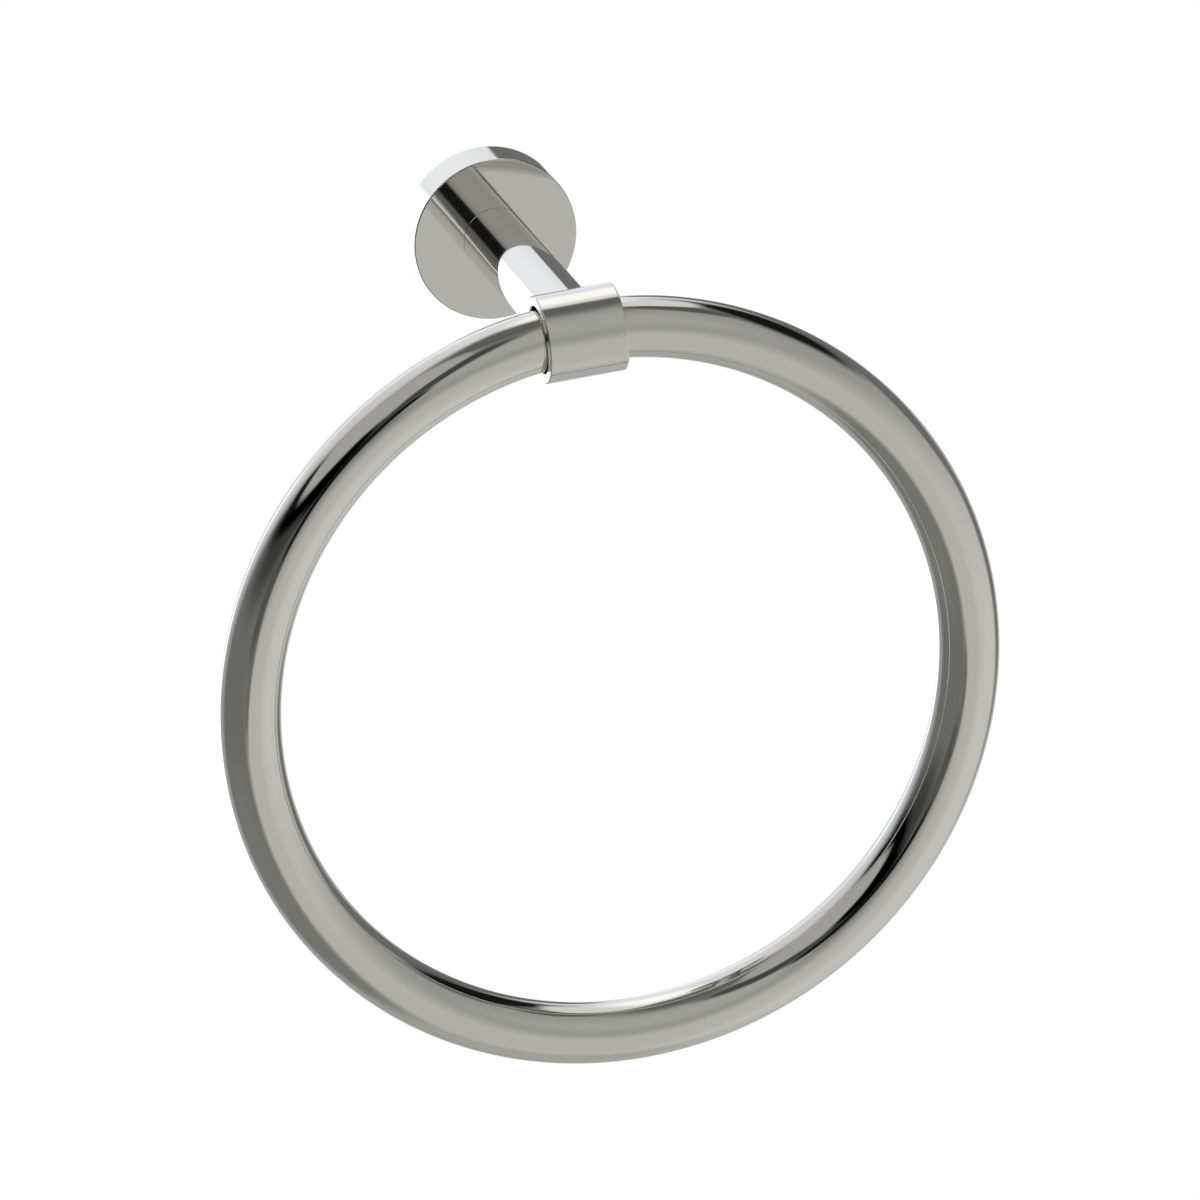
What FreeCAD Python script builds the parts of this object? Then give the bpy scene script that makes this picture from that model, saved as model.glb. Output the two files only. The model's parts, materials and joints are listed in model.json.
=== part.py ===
import FreeCAD, Part
import math
import os

# Towel ring for a wall: a closed tube ring that hangs and swings in a collar on a post.
# Millimetres. The wall is the plane Y = 0 and the fitting stands out of it towards -Y.
# +Z is up, and the origin is the centre of the flange's back, on the wall.

# Ring: a round tube bent into a closed circle
ring_radius = 96.0
ring_tube_d = 16.0
ring_tube_wall = 1.2

# Collar: a short straight tube across the head of the post
collar_length = 21.0
collar_wall = 2.7
collar_edge = 0.4
ring_play = 0.45

# Post: a round bar from the flange to the collar
reach = 89.5
post_d = 17.0
post_edge = 0.3

# Flange: a turned cup over the wall bracket
flange_d = 43.5
flange_depth = 11.0
flange_face = 3.2
flange_rim = 3.3
flange_edge = 0.4

# Wall bracket: a round plate with two countersunk holes and a groove round its rim
bracket_fit = 0.15
bracket_gap = 0.6
bracket_hole_d = 5.0
bracket_hole_spacing = 23.0
bracket_sink_d = 9.2
groove_depth = 1.3

# Post screw: low cylinder head, hexagon socket
post_screw_d = 6.0
post_screw_head_d = 10.0
post_screw_head_height = 4.0
post_screw_reach = 12.0
post_screw_hole_room = 0.3
post_screw_key = 4.0
post_screw_key_depth = 2.3

# Collar screw: countersunk head, hexagon socket
collar_screw_d = 4.0
collar_screw_head_d = 8.0
collar_screw_length = 12.0
collar_screw_sink = 0.1
collar_screw_key = 2.5
collar_screw_key_depth = 1.3

# Set screw: headless, with a cone point that sits in the bracket's groove
set_screw_d = 4.0
set_screw_tip_d = 0.8
set_screw_sink = 0.6
set_screw_key = 2.0
set_screw_key_depth = 1.5

# Clearances that several pieces share
thread_gap = 0.05
seat_gap = 0.05
drill_room = 2.0
head_room = 0.6

# Worked out from the sizes above
tube_r = ring_tube_d / 2
half_collar = collar_length / 2
ring_bow = ring_radius - math.sqrt(ring_radius**2 - half_collar**2)
tube_slope = math.asin(half_collar / ring_radius)
bore_r = tube_r / math.cos(tube_slope) + ring_bow / 2 + ring_play
collar_r = bore_r + collar_wall
post_r = post_d / 2
flange_r = flange_d / 2
recess_r = flange_r - flange_rim
recess_depth = flange_depth - flange_face
bracket_r = recess_r - bracket_fit
bracket_thickness = recess_depth - bracket_gap
groove_r = bracket_r - groove_depth
groove_y = -bracket_thickness / 2

OUT = FreeCAD.Vector(0, -1, 0)
WALLWARD = FreeCAD.Vector(0, 1, 0)
ACROSS = FreeCAD.Vector(1, 0, 0)
DOWN = FreeCAD.Vector(0, 0, -1)
ORIGIN = FreeCAD.Vector(0, 0, 0)
PIVOT = FreeCAD.Vector(0, -reach, 0)


def rod(radius, start, direction, length):
    """A solid cylinder from a start point."""
    return Part.makeCylinder(radius, length, start, direction)


def cone(radius_start, radius_end, start, direction, length):
    return Part.makeCone(radius_start, radius_end, length, start, direction)


def round_edges(solid, radius, chosen):
    """Rounds the circular edges that the test picks out."""
    edges = [e for e in solid.Edges if isinstance(e.Curve, Part.Circle) and chosen(e.Curve)]
    return solid.makeFillet(radius, edges)


def key_socket(across_flats, start, direction, depth):
    """A hexagon socket for a key, cut from a start point into the metal."""
    corner_r = across_flats / math.sqrt(3)
    turn = FreeCAD.Rotation(FreeCAD.Vector(0, 0, 1), direction)
    corners = []
    for i in range(7):
        angle = math.radians(60 * i)
        flat = FreeCAD.Vector(corner_r * math.cos(angle), corner_r * math.sin(angle), 0)
        corners.append(start + turn.multVec(flat))
    return Part.Face(Part.makePolygon(corners)).extrude(direction * depth)


def make_ring():
    """The tube's ends are joined in one closed circle. Its bow is shared evenly about the collar's axis."""
    centre = PIVOT + DOWN * (ring_radius - ring_bow / 2)
    outside = Part.makeTorus(ring_radius, tube_r, centre, OUT)
    inside = Part.makeTorus(ring_radius, tube_r - ring_tube_wall, centre, OUT)
    return outside.cut(inside)


def countersunk_screw(gap):
    """The collar screw's outline, grown by a gap where it is used to cut its own hole."""
    shank_r = collar_screw_d / 2
    head_r = collar_screw_head_d / 2
    head_height = head_r - shank_r
    top = PIVOT + WALLWARD * (bore_r + collar_screw_sink)
    head = cone(head_r + gap, shank_r + gap, top, WALLWARD, head_height)
    return head.fuse(rod(shank_r + gap, top, WALLWARD, collar_screw_length))


def collar_screw_hole():
    """The screw's own shape with room round it, the way in from the bore and the drill's extra depth."""
    top = PIVOT + WALLWARD * (bore_r + collar_screw_sink)
    way_in = rod(collar_screw_head_d / 2 + thread_gap, PIVOT, WALLWARD, bore_r + collar_screw_sink)
    drill = rod(collar_screw_d / 2 + thread_gap, top, WALLWARD, collar_screw_length + drill_room)
    return countersunk_screw(thread_gap).fuse([way_in, drill])


def make_collar():
    start = PIVOT - ACROSS * half_collar
    tube = rod(collar_r, start, ACROSS, collar_length).cut(rod(bore_r, start, ACROSS, collar_length))
    tube = round_edges(tube, collar_edge, lambda circle: abs(circle.Axis.x) > 0.9)
    return tube.cut(collar_screw_hole())


def make_collar_screw():
    top = PIVOT + WALLWARD * (bore_r + collar_screw_sink)
    socket = key_socket(collar_screw_key, top, WALLWARD, collar_screw_key_depth)
    return countersunk_screw(0).cut(socket)


def make_post():
    """The head end is hollowed to sit on the collar, and both ends are tapped."""
    foot = OUT * flange_depth
    bar = rod(post_r, foot, OUT, reach - flange_depth)
    bar = round_edges(bar, post_edge, lambda circle: circle.Center.y > foot.y - post_edge)
    saddle = rod(collar_r, PIVOT - ACROSS * post_d, ACROSS, 2 * post_d)
    tapping = rod(post_screw_d / 2 + thread_gap, foot, OUT, post_screw_reach + drill_room)
    return bar.cut([saddle, tapping, collar_screw_hole()])


def make_post_screw():
    """It passes through the flange's face from behind, and pulls the post down on it."""
    seat = OUT * recess_depth
    top = seat - OUT * post_screw_head_height
    head = rod(post_screw_head_d / 2, top, OUT, post_screw_head_height)
    shank = rod(post_screw_d / 2, seat, OUT, flange_face + post_screw_reach)
    return head.fuse(shank).cut(key_socket(post_screw_key, top, OUT, post_screw_key_depth))


def set_screw_hole():
    start = FreeCAD.Vector(0, groove_y, 0) + DOWN * groove_r
    return rod(set_screw_d / 2 + thread_gap, start, DOWN, flange_r - groove_r + drill_room)


def make_flange():
    cup = rod(flange_r, ORIGIN, OUT, flange_depth)
    cup = round_edges(cup, flange_edge, lambda circle: circle.Center.y < -flange_depth / 2)
    recess = rod(recess_r, ORIGIN, OUT, recess_depth)
    middle = rod(post_screw_d / 2 + post_screw_hole_room, ORIGIN, OUT, flange_depth)
    return cup.cut([recess, middle, set_screw_hole()])


def make_set_screw():
    """Its cut-off cone point stands clear of the groove's two flanks by the seat gap."""
    tip = FreeCAD.Vector(0, groove_y, 0) + DOWN * (groove_r + set_screw_tip_d / 2 + seat_gap)
    end = FreeCAD.Vector(0, groove_y, 0) + DOWN * (flange_r - set_screw_sink)
    point_height = (set_screw_d - set_screw_tip_d) / 2
    point = cone(set_screw_tip_d / 2, set_screw_d / 2, tip, DOWN, point_height)
    body = rod(set_screw_d / 2, tip + DOWN * point_height, DOWN, (end - tip).Length - point_height)
    return point.fuse(body).cut(key_socket(set_screw_key, end, -DOWN, set_screw_key_depth))


def make_wall_bracket():
    plate = rod(bracket_r, ORIGIN, OUT, bracket_thickness)
    corners = [
        FreeCAD.Vector(groove_r, groove_y, 0),
        FreeCAD.Vector(bracket_r + groove_depth, groove_y - 2 * groove_depth, 0),
        FreeCAD.Vector(bracket_r + groove_depth, groove_y + 2 * groove_depth, 0),
        FreeCAD.Vector(groove_r, groove_y, 0),
    ]
    groove = Part.Face(Part.makePolygon(corners)).revolve(ORIGIN, WALLWARD, 360)
    middle = rod(post_screw_head_d / 2 + head_room, ORIGIN, OUT, bracket_thickness)
    cuts = [groove, middle]
    hole_r = bracket_hole_d / 2
    sink_depth = (bracket_sink_d - bracket_hole_d) / 2
    for side in (-1, 1):
        wall_end = ACROSS * (side * bracket_hole_spacing / 2)
        sink_start = wall_end + OUT * (bracket_thickness - sink_depth)
        cuts.append(rod(hole_r, wall_end, OUT, bracket_thickness))
        cuts.append(cone(hole_r, bracket_sink_d / 2, sink_start, OUT, sink_depth))
    return plate.cut(cuts)


pieces = {
    "ring": make_ring(),
    "collar": make_collar(),
    "collar_screw": make_collar_screw(),
    "post": make_post(),
    "post_screw": make_post_screw(),
    "flange": make_flange(),
    "flange_set_screw": make_set_screw(),
    "wall_bracket": make_wall_bracket(),
}

os.makedirs("parts", exist_ok=True)
for name, shape in pieces.items():
    shape.exportStep(f"parts/{name}.step")
    print(f"{name}: {len(shape.Solids)} solid, {shape.Volume:.1f} cubic mm, valid {shape.isValid()}")

# The ring swings about the collar's axis until its lowest or highest point meets the wall
swing_arm = ring_radius - ring_bow / 2 + ring_radius
wall_angle = math.degrees(math.asin((reach - tube_r) / swing_arm))
print(f"collar bore {2 * bore_r:.3f} mm, collar outside {2 * collar_r:.3f} mm")
print(f"the ring meets the wall {wall_angle:.2f} degrees from upright, below and above")
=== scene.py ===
import json
import math

import bpy
from mathutils import Matrix, Vector


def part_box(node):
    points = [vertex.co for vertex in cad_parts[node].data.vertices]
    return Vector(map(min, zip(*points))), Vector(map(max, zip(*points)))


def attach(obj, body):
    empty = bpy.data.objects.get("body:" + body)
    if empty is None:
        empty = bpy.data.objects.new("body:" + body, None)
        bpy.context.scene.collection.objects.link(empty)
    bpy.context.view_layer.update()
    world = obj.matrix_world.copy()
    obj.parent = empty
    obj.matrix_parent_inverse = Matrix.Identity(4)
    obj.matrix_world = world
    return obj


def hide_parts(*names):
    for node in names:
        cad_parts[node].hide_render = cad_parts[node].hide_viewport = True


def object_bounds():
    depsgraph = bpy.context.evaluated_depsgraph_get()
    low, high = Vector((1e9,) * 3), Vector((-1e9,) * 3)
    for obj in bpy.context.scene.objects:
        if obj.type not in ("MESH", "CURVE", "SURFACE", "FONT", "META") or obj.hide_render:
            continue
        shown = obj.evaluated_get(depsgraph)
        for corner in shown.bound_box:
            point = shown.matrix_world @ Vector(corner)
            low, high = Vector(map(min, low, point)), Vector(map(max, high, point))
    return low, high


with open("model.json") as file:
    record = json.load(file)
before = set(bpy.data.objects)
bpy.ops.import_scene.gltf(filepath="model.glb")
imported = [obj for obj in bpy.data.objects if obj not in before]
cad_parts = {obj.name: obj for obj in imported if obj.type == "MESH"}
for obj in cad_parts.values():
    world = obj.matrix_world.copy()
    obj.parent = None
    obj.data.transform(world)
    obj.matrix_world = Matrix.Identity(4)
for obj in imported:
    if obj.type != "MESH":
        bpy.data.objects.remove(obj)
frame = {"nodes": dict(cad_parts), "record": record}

cad_low, cad_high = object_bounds()
scene = bpy.context.scene
scene.view_settings.view_transform = "Standard"

# Towel ring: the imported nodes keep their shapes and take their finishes, and the ring is drawn
# again in finer faces. Lengths are in metres.

# Camera: the photograph's viewing angle, through a long lens from well back.
# The frame's width is taken at the ring's middle, and the aim is measured from there.
VIEW_SIDE_DEG = 13.90
VIEW_HEIGHT_DEG = 20.72
VIEW_ROLL_DEG = -5.40
FRAME_WIDTH = 0.30861
AIM_ACROSS = -0.00276
AIM_UP = 0.02086
CAMERA_DISTANCE = 6.3

# Floor: a round pale board well below the ring. The camera sees it with a glow of its own, and
# polished metal shows it at an even light.
FLOOR_DROP = 0.75
FLOOR_RADIUS = 0.42
FLOOR_FADE_START = 0.10
FLOOR_SIDES = 96
FLOOR_COLOUR = (0.84, 0.835, 0.82, 1)
FLOOR_ROUGHNESS = 0.9
FLOOR_GLOW_SEEN = 0.40
FLOOR_LIGHT_MIRRORED = 0.47

# Ring: its tube as the CAD has it, and the faces round the ring and round the tube
RING_TUBE_R = 0.008
RING_TUBE_WALL = 0.0012
RING_FACES = (1200, 64)
RING_HOLLOW_FACES = (192, 32)

# Polished nickel: its two colours in clouds, wipe haze in its roughness, and a slight wave.
# Cloud, haze and wave are noises, each with a scale, a detail and a roughness.
NICKEL = (0.735, 0.733, 0.700)
NICKEL_TINT = (0.752, 0.744, 0.700)
NICKEL_CLOUD = (45.0, 3.0, 0.5)
NICKEL_HAZE = (70.0, 5.0, 0.65)
NICKEL_HAZE_SPAN = (0.3, 0.7)
NICKEL_ROUGHNESS = (0.02, 0.06)
NICKEL_WAVE = (120.0, 2.0, 0.5)
NICKEL_WAVE_DEPTH = 0.000002

# Machined steel: fine lines and an uneven shade, noises like the nickel's. The grain is the
# lines' scale along each axis, and they run where it is low.
STEEL = (0.55, 0.55, 0.56)
STEEL_GRAIN = (900, 5000, 5000)
ZINC = (0.62, 0.62, 0.61)
ZINC_GRAIN = (700, 3000, 700)
MACHINED_LINES = (1.0, 4.0, 0.6)
MACHINED_CLOUD = (300.0, 3.0, 0.5)
MACHINED_DARK = 0.85
MACHINED_ROUGHNESS = (0.22, 0.42)
MACHINED_DEPTH = 0.00001

# Studio: light that reaches the part from each direction. Below the horizon the dome changes
# from DOME_DOWN to DOME_UP, from a direction's height of DOME_BLEND_START up to 0.
WHITE = (1, 1, 1, 1)
WARM = (1.00, 1.00, 0.97)
COOL = (1.00, 1.02, 1.10)
DOME_UP = 0.39
DOME_DOWN = 0.42
DOME_BLEND_START = -0.5

# Cards: azimuth runs from the wall side (0) towards +X (90), and elevation is above the horizon.
# Each card has both, a half width and half height in degrees, a turn, a corner squareness,
# a softness, a light and a tint. A later card lies over an earlier one.
CARDS = {
    "floor_glow_right": (112, -42, 58, 42, 0, 2.0, 0.60, 0.69, WARM),
    "floor_glow_back": (-176, -38, 24, 32, 0, 2.5, 0.40, 0.58, WARM),
    "back_glow": (165, 38, 30, 20, 0, 2.0, 0.60, 0.46, WARM),
    "wall_side_glow": (0, 28, 43, 42, 0, 2.0, 0.40, 0.95, COOL),
    "wall_low_glow": (14, -28, 20, 14, 0, 2.0, 0.50, 0.8, WARM),
    "edge_low_flag": (20, -28, 5, 5, 0, 2.0, 0.50, 0.42, WARM),
    "left_flag": (-99, -16, 46, 53, 0, 2.2, 0.22, 0.185, WARM),
    "left_flag_low": (-98, -47, 38, 24, 0, 2.0, 0.40, 0.23, WARM),
    "left_flag_wing": (-151, -11, 8, 8, 0, 2.5, 0.30, 0.185, WARM),
    "left_dusk": (-120, 23, 42, 15, 4, 2.0, 0.60, 0.055, WARM),
    "left_glow": (-32, 46, 20, 22, 0, 2.0, 0.60, 0.75, WARM),
    "top_glow": (20, 50, 26, 22, 0, 2.0, 0.60, 0.9, WARM),
    "back_left_flag": (-163, 46, 7, 24, 14, 2.5, 0.40, 0.07, WARM),
    "left_black_strip": (-118, 29.2, 43, 6.8, 5, 2.0, 0.45, 0.0, WARM),
    "left_black_end": (-82, 35, 12, 7, 0, 2.0, 0.50, 0.01, WARM),
    "left_black_corner": (-146, 26.5, 8.5, 11, 0, 2.0, 0.35, 0.0, WARM),
    "back_low_band": (-147, 3, 10.5, 11, 0, 2.5, 0.30, 0.104, WARM),
    "back_black_band": (-158.3, 17.7, 5.7, 16, 32, 2.5, 0.14, 0.01, WARM),
    "right_grey_flag": (51, 9, 33, 12, 0, 3.0, 0.20, 0.17, WARM),
    "right_grey_column": (63, -11, 14, 24, 0, 2.0, 0.60, 0.18, WARM),
    "post_edge_flag": (22.5, 0, 5.5, 19, 0, 3.0, 0.15, 0.175, WARM),
    "right_black_flag": (64, 34.5, 27, 14, 2, 2.5, 0.40, 0.01, WARM),
    "ceiling_right": (85, 57, 11, 12, 0, 2.0, 0.40, 0.11, WARM),
    "ceiling": (0, 90, 21, 21, 0, 2.0, 0.45, 0.14, WARM),
    "left_softbox": (-113, 54.0, 25, 22, -3, 2.2, 0.12, 0.455, WARM),
    "wall_side_white": (-5, 4, 17, 24, 0, 2.5, 0.30, 1.05, COOL),
    "wall_side_dim": (-7, 1, 14, 16, 0, 2.0, 0.25, 0.85, COOL),
    "right_softbox": (40, 55, 18, 13, 50, 3.0, 0.15, 0.82, WARM),
    "key_softbox": (18, 53, 8, 18, 0, 2.5, 0.60, 1.29, WARM),
    "side_softbox": (-24, 2, 2.7, 11.5, 0, 3.0, 0.15, 1.6, COOL),
    "side_softbox_low": (-19.8, -14, 3.4, 10, 35, 3.0, 0.15, 1.6, COOL),
    "low_softbox": (-8, -22, 14, 5, -10, 2.5, 0.30, 1.5, COOL),
}

# The white backdrop behind the part, placed like a card, without a light and a tint
BACKDROP = (8, -19, 9, 8, 0, 2.0, 0.50)

# Added to how far a direction faces a card: 1, and a little that keeps the sum above zero
FACING_OFFSET = 1.0001


def frame_of_direction(azimuth, elevation, turn=0.0):
    """Across, up and towards, as unit vectors, for a direction in degrees."""
    a = math.radians(azimuth)
    e = math.radians(elevation)
    towards = Vector((math.sin(a) * math.cos(e), math.cos(a) * math.cos(e), math.sin(e)))
    across = Vector((math.cos(a), -math.sin(a), 0))
    roll = Matrix.Rotation(math.radians(-turn), 3, towards)
    across = roll @ across
    return across, across.cross(towards), towards


# Node helpers
def node(tree, kind, inputs=None, **settings):
    """A shader node with its settings, and its inputs set to a value or linked to a socket."""
    made = tree.nodes.new(kind)
    for key, value in settings.items():
        setattr(made, key, value)
    for key, value in (inputs or {}).items():
        if isinstance(value, bpy.types.NodeSocket):
            tree.links.new(value, made.inputs[key])
        else:
            made.inputs[key].default_value = value
    return made


def math_node(tree, operation, first, second=0.0):
    return node(tree, "ShaderNodeMath", {0: first, 1: second}, operation=operation).outputs[0]


def dot(tree, first, second):
    made = node(tree, "ShaderNodeVectorMath", {0: first, 1: second}, operation="DOT_PRODUCT")
    return made.outputs["Value"]


def ranged(tree, value, low, high, start=0.0, end=1.0, blend="LINEAR"):
    """A number from low to high, for the value's place between start and end."""
    inputs = {"Value": value, "From Min": start, "From Max": end, "To Min": low, "To Max": high}
    return node(tree, "ShaderNodeMapRange", inputs, interpolation_type=blend).outputs[0]


def mix_colour(tree, share, first, second):
    made = node(tree, "ShaderNodeMix", data_type="RGBA")
    for name, value in (("Factor_Float", share), ("A_Color", first), ("B_Color", second)):
        socket = next(s for s in made.inputs if s.identifier == name)
        if isinstance(value, bpy.types.NodeSocket):
            tree.links.new(value, socket)
        else:
            socket.default_value = value
    return next(s for s in made.outputs if s.identifier == "Result_Color")


def mirrored_rays(tree, rays):
    """1 for a ray that left a polished or a clear surface, from a light path's outputs."""
    return math_node(tree, "MAXIMUM", rays["Is Glossy Ray"], rays["Is Transmission Ray"])


def opaque(colour, level=1.0):
    """A colour at a level of light, as the four numbers that a socket takes."""
    return (*[level * c for c in colour], 1.0)


# Studio
def make_card_group():
    """How much of a card a direction meets: 1 inside it, falling softly to 0 past its edge."""
    group = bpy.data.node_groups.new("studio_card", "ShaderNodeTree")
    for name in ("Direction", "Across", "Up", "Towards"):
        group.interface.new_socket(name, in_out="INPUT", socket_type="NodeSocketVector")
    for name in ("Square", "Soft"):
        group.interface.new_socket(name, in_out="INPUT", socket_type="NodeSocketFloat")
    group.interface.new_socket("Share", in_out="OUTPUT", socket_type="NodeSocketFloat")
    given = group.nodes.new("NodeGroupInput").outputs
    x = math_node(group, "ABSOLUTE", dot(group, given["Direction"], given["Across"]))
    y = math_node(group, "ABSOLUTE", dot(group, given["Direction"], given["Up"]))
    x = math_node(group, "POWER", x, given["Square"])
    y = math_node(group, "POWER", y, given["Square"])
    root = math_node(group, "DIVIDE", 1.0, given["Square"])
    reach = math_node(group, "POWER", math_node(group, "ADD", x, y), root)
    facing = dot(group, given["Direction"], given["Towards"])
    facing = math_node(group, "ADD", facing, FACING_OFFSET)
    reach = math_node(group, "DIVIDE", reach, facing)
    inner = math_node(group, "SUBTRACT", 1.0, given["Soft"])
    outer = math_node(group, "ADD", 1.0, given["Soft"])
    share = ranged(group, reach, 1.0, 0.0, inner, outer, "SMOOTHSTEP")
    end = group.nodes.new("NodeGroupOutput")
    group.links.new(share, end.inputs["Share"])
    return group


def card_share(
    tree, group, direction, azimuth, elevation, half_width, half_height, turn, square, soft
):
    across, up, towards = frame_of_direction(azimuth, elevation, turn)
    made = tree.nodes.new("ShaderNodeGroup")
    made.node_tree = group
    tree.links.new(direction, made.inputs["Direction"])
    made.inputs["Across"].default_value = across / math.tan(math.radians(half_width / 2))
    made.inputs["Up"].default_value = up / math.tan(math.radians(half_height / 2))
    made.inputs["Towards"].default_value = towards
    made.inputs["Square"].default_value = square
    made.inputs["Soft"].default_value = soft
    return made.outputs["Share"]


def make_studio():
    world = bpy.data.worlds.new("studio")
    scene.world = world
    world.use_nodes = True
    tree = world.node_tree
    tree.nodes.clear()
    group = make_card_group()
    direction = node(tree, "ShaderNodeTexCoord").outputs["Generated"]
    height = node(tree, "ShaderNodeSeparateXYZ", {0: direction}).outputs["Z"]
    rise = ranged(tree, height, 0.0, 1.0, DOME_BLEND_START, 0.0, "SMOOTHSTEP")
    light = mix_colour(tree, rise, opaque(WARM, DOME_DOWN), opaque(WARM, DOME_UP))
    for *place, level, tint in CARDS.values():
        share = card_share(tree, group, direction, *place)
        light = mix_colour(tree, share, light, opaque(tint, level))
    # The white backdrop: all round for the camera, and behind the part in its reflections
    rays = node(tree, "ShaderNodeLightPath").outputs
    mirrored = mirrored_rays(tree, rays)
    mirrored = math_node(tree, "MULTIPLY", mirrored, card_share(tree, group, direction, *BACKDROP))
    light = mix_colour(tree, mirrored, light, WHITE)
    studio = node(tree, "ShaderNodeBackground", {"Color": light, "Strength": 1.0})
    white = node(tree, "ShaderNodeBackground", {"Color": WHITE, "Strength": 1.0})
    shown = {0: rays["Is Camera Ray"], 1: studio.outputs[0], 2: white.outputs[0]}
    seen = node(tree, "ShaderNodeMixShader", shown)
    node(tree, "ShaderNodeOutputWorld", {"Surface": seen.outputs[0]})


# Camera
def make_camera():
    away = frame_of_direction(VIEW_SIDE_DEG, -VIEW_HEIGHT_DEG)[2]
    across = away.cross(Vector((0, 0, 1))).normalized()
    up = across.cross(away)
    roll = Matrix.Rotation(math.radians(VIEW_ROLL_DEG), 3, -away)
    across = roll @ across
    up = roll @ up
    low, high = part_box("ring")
    aim = (low + high) / 2 + across * AIM_ACROSS + up * AIM_UP
    data = bpy.data.cameras.new("camera")
    data.lens = data.sensor_width * CAMERA_DISTANCE / FRAME_WIDTH
    camera = bpy.data.objects.new("camera", data)
    axes = Matrix((across, up, -away)).transposed().to_4x4()
    camera.matrix_world = Matrix.Translation(aim - away * CAMERA_DISTANCE) @ axes
    scene.collection.objects.link(camera)
    scene.camera = camera


# Floor
def make_floor():
    """A round board that fades into the backdrop towards its rim. Its glow keeps it pale to look at.

    Polished metal shows it at an even light of its own, which keeps the reflections free of grain.
    """
    middle = (cad_low + cad_high) / 2
    rim = []
    for i in range(FLOOR_SIDES):
        angle = math.tau * i / FLOOR_SIDES
        rim.append((FLOOR_RADIUS * math.cos(angle), FLOOR_RADIUS * math.sin(angle), 0))
    mesh = bpy.data.meshes.new("floor")
    mesh.from_pydata(rim, [], [list(range(FLOOR_SIDES))])
    floor = bpy.data.objects.new("floor", mesh)
    floor.location = (middle.x, middle.y, cad_low.z - FLOOR_DROP)
    scene.collection.objects.link(floor)
    material = bpy.data.materials.new("floor")
    material.use_nodes = True
    tree = material.node_tree
    shader = tree.nodes["Principled BSDF"]
    shader.inputs["Base Color"].default_value = FLOOR_COLOUR
    shader.inputs["Roughness"].default_value = FLOOR_ROUGHNESS
    shader.inputs["Emission Color"].default_value = WHITE
    rays = node(tree, "ShaderNodeLightPath").outputs
    seen = math_node(tree, "MULTIPLY", rays["Is Camera Ray"], FLOOR_GLOW_SEEN)
    tree.links.new(seen, shader.inputs["Emission Strength"])
    even = node(tree, "ShaderNodeEmission", {"Color": opaque(WARM), "Strength": FLOOR_LIGHT_MIRRORED})
    shown = {0: mirrored_rays(tree, rays), 1: shader.outputs[0], 2: even.outputs[0]}
    board = node(tree, "ShaderNodeMixShader", shown)
    place = node(tree, "ShaderNodeTexCoord").outputs["Object"]
    from_middle = node(tree, "ShaderNodeVectorMath", {0: place}, operation="LENGTH").outputs["Value"]
    fade = ranged(tree, from_middle, 0.0, 1.0, FLOOR_FADE_START, FLOOR_RADIUS, "SMOOTHSTEP")
    clear = node(tree, "ShaderNodeBsdfTransparent").outputs[0]
    faded = node(tree, "ShaderNodeMixShader", {0: fade, 1: board.outputs[0], 2: clear})
    tree.links.new(faded.outputs[0], tree.nodes["Material Output"].inputs["Surface"])
    mesh.materials.append(material)


# Materials
def noise(tree, place, scale, detail, roughness):
    settings = {"Vector": place, "Scale": scale, "Detail": detail, "Roughness": roughness}
    return node(tree, "ShaderNodeTexNoise", settings).outputs["Fac"]


def new_metal(name):
    """A metal's shader with its place in metres, ready for its own colour, roughness and bump."""
    material = bpy.data.materials.new(name)
    material.use_nodes = True
    tree = material.node_tree
    shader = tree.nodes["Principled BSDF"]
    shader.inputs["Metallic"].default_value = 1.0
    return material, tree, shader, node(tree, "ShaderNodeTexCoord").outputs["Object"]


def finish_metal(tree, shader, colour, roughness, height, depth):
    tree.links.new(colour, shader.inputs["Base Color"])
    tree.links.new(roughness, shader.inputs["Roughness"])
    bump = node(tree, "ShaderNodeBump", {"Height": height, "Distance": depth, "Strength": 1.0})
    tree.links.new(bump.outputs[0], shader.inputs["Normal"])


def make_nickel():
    """Mirror-polished plate: a faint warm tint in clouds, soft wipe haze and a slight wave."""
    material, tree, shader, place = new_metal("polished_nickel")
    cloud = noise(tree, place, *NICKEL_CLOUD)
    colour = mix_colour(tree, cloud, opaque(NICKEL), opaque(NICKEL_TINT))
    haze = noise(tree, place, *NICKEL_HAZE)
    roughness = ranged(tree, haze, *NICKEL_ROUGHNESS, *NICKEL_HAZE_SPAN)
    wave = noise(tree, place, *NICKEL_WAVE)
    finish_metal(tree, shader, colour, roughness, wave, NICKEL_WAVE_DEPTH)
    return material


def make_machined(name, colour, grain):
    """Bare machined steel: fine turning lines and an uneven sheen."""
    material, tree, shader, place = new_metal(name)
    streaks = node(tree, "ShaderNodeMapping", {"Vector": place, "Scale": grain}).outputs[0]
    lines = noise(tree, streaks, *MACHINED_LINES)
    cloud = noise(tree, place, *MACHINED_CLOUD)
    shade = mix_colour(tree, cloud, opaque(colour, MACHINED_DARK), opaque(colour))
    roughness = ranged(tree, lines, *MACHINED_ROUGHNESS)
    finish_metal(tree, shader, shade, roughness, lines, MACHINED_DEPTH)
    return material


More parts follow.
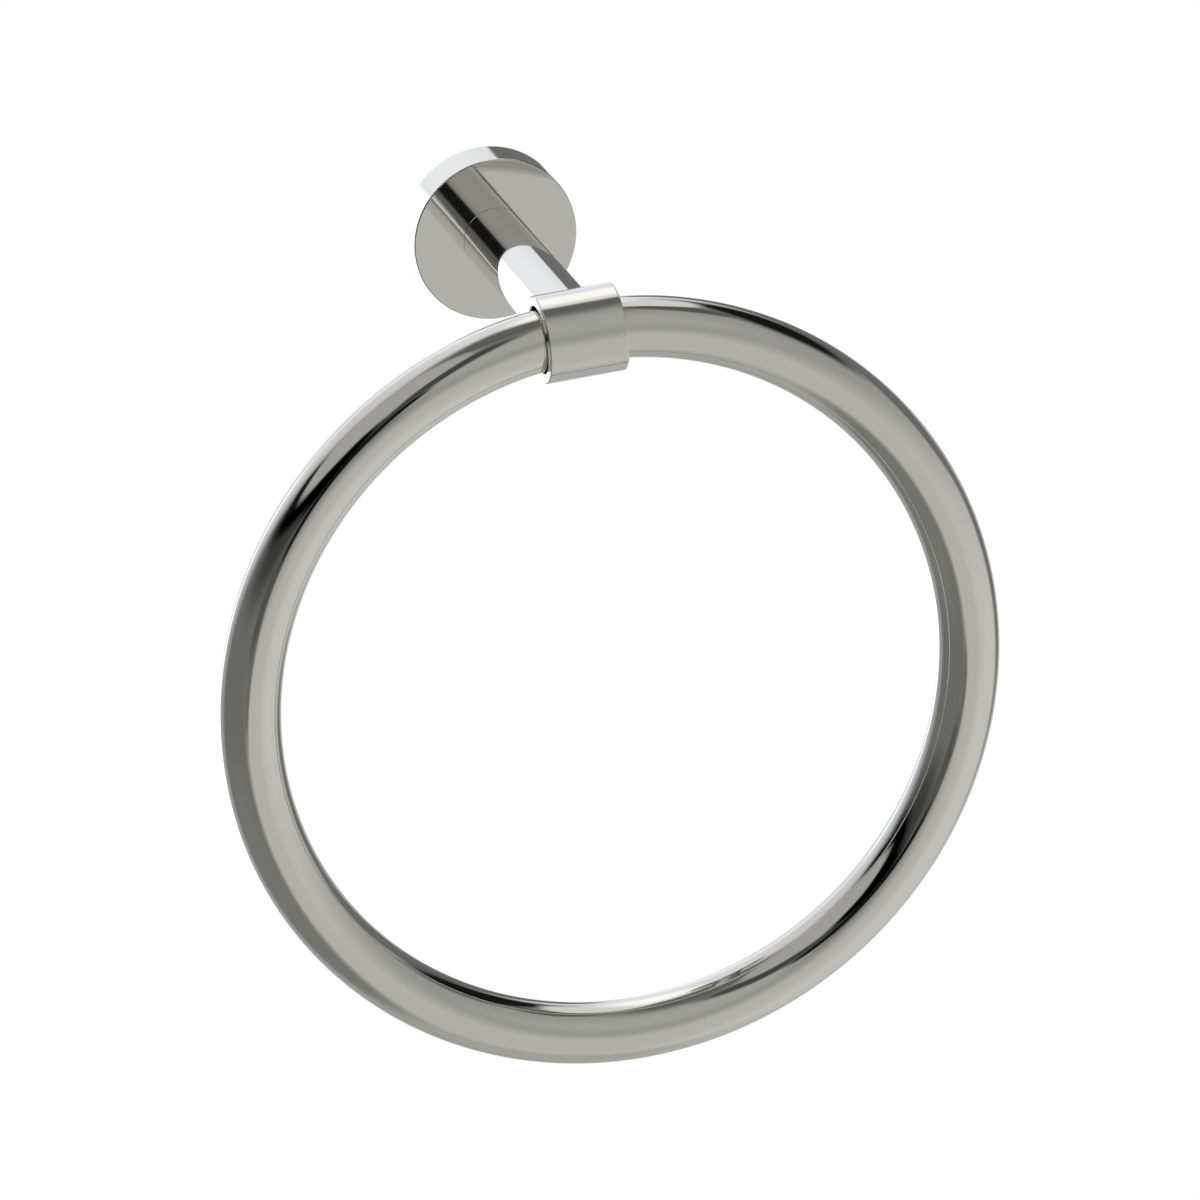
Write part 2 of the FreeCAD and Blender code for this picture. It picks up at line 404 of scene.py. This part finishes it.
def make_finishes():
    """One material for each of the record's material slots."""
    return {
        "polished_nickel": make_nickel(),
        "screw_steel": make_machined("screw_steel", STEEL, STEEL_GRAIN),
        "bracket_steel": make_machined("bracket_steel", ZINC, ZINC_GRAIN),
    }


def dress_nodes(finishes):
    """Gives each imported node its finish, by the record's material slots."""
    for part in frame["record"]["subparts"]:
        piece = frame["nodes"][part["node"]]
        for slot in piece.material_slots:
            slot.material = finishes[part["material_slot"]]


# Ring
def round_tube(ring_radius, tube_radius, steps, tube_steps, first, outwards):
    """Points and quads of a closed round tube about the Y axis, its face outwards or inwards.

    The quads count the points from first.
    """
    points = []
    faces = []
    for i in range(steps):
        angle = math.tau * i / steps
        arm = Vector((math.cos(angle), 0, math.sin(angle)))
        for j in range(tube_steps):
            turn = math.tau * j / tube_steps
            off = Vector((0, tube_radius * math.sin(turn), 0))
            points.append(arm * (ring_radius + tube_radius * math.cos(turn)) + off)
            here = first + i * tube_steps
            there = first + (i + 1) % steps * tube_steps
            k = (j + 1) % tube_steps
            quad = (here + j, here + k, there + k, there + j)
            faces.append(quad if outwards else quad[::-1])
    return points, faces


def make_ring(finish):
    """The ring's tube again, hollow as its node is, in small enough faces for a mirror polish."""
    low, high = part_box("ring")
    ring_radius = (high.x - low.x) / 2 - RING_TUBE_R
    hollow_r = RING_TUBE_R - RING_TUBE_WALL
    points, faces = round_tube(ring_radius, RING_TUBE_R, *RING_FACES, 0, True)
    hollow = round_tube(ring_radius, hollow_r, *RING_HOLLOW_FACES, len(points), False)
    mesh = bpy.data.meshes.new("ring_tube")
    mesh.from_pydata(points + hollow[0], [], faces + hollow[1])
    mesh.transform(Matrix.Translation((low + high) / 2))
    mesh.shade_smooth()
    mesh.materials.append(finish)
    ring = bpy.data.objects.new("ring_tube", mesh)
    scene.collection.objects.link(ring)
    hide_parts("ring")
    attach(ring, "swing_ring")


make_studio()
make_camera()
make_floor()
finishes = make_finishes()
dress_nodes(finishes)
make_ring(finishes["polished_nickel"])
